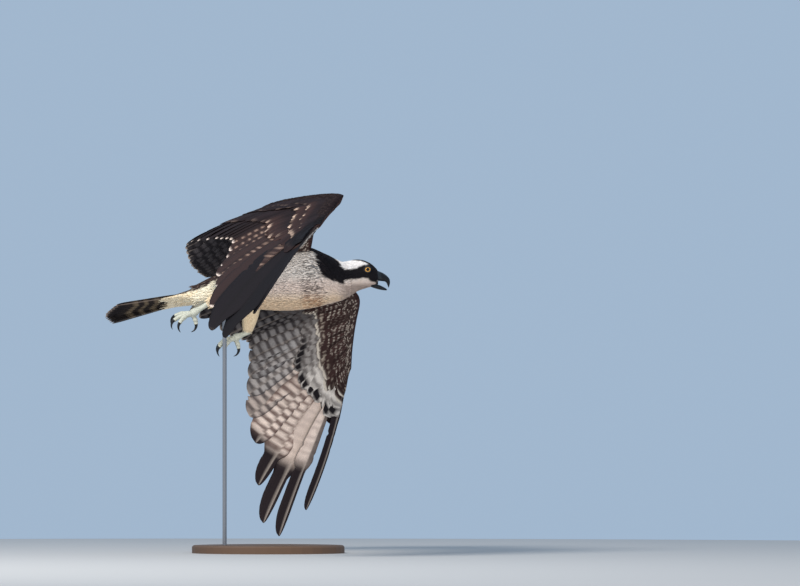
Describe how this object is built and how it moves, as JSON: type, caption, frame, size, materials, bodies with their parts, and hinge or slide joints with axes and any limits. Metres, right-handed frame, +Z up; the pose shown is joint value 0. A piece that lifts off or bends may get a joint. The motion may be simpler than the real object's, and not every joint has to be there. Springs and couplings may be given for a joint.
{
  "type": "osprey",
  "caption": "Life-size osprey in banked flight with arched wings, held on a plain display stand by one rod under the belly",
  "frame": {"origin": "middle of the bounding box, on the underside of the stand's base", "axes": "+Z up; the bird heads along +X with its left wing on the +Y side, and its wings reach along Y"},
  "size_m": [0.5422, 0.9042, 0.6809],
  "materials": {
    "white_feathers": "matt, soft short feathers",
    "cream_feathers": "matt, soft long feathers",
    "brown_feathers": "satin vanes with pale tips",
    "black_horn": "smooth, half gloss horn",
    "pale_scales": "rough small scales",
    "yellow_eye": "wet and glossy",
    "stand_wood": "dark, satin varnish",
    "stand_steel": "satin rod"
  },
  "bodies": {
    "root": {"bill_lower": "black_horn", "bill_upper": "black_horn", "claw_left_1": "black_horn", "claw_left_2": "black_horn", "claw_left_3": "black_horn", "claw_left_4": "black_horn", "claw_right_1": "black_horn", "claw_right_2": "black_horn", "claw_right_3": "black_horn", "claw_right_4": "black_horn", "eye_left": "yellow_eye", "eye_right": "yellow_eye", "foot_left": "pale_scales", "foot_right": "pale_scales", "head": "white_feathers", "neck": "white_feathers", "stand_base": "stand_wood", "stand_rod": "stand_steel", "tail": "brown_feathers", "thigh_left": "cream_feathers", "thigh_right": "cream_feathers", "torso": "white_feathers", "wing_left_arm": "brown_feathers", "wing_left_hand": "brown_feathers", "wing_right_arm": "brown_feathers", "wing_right_hand": "brown_feathers"}
  },
  "joints": []
}
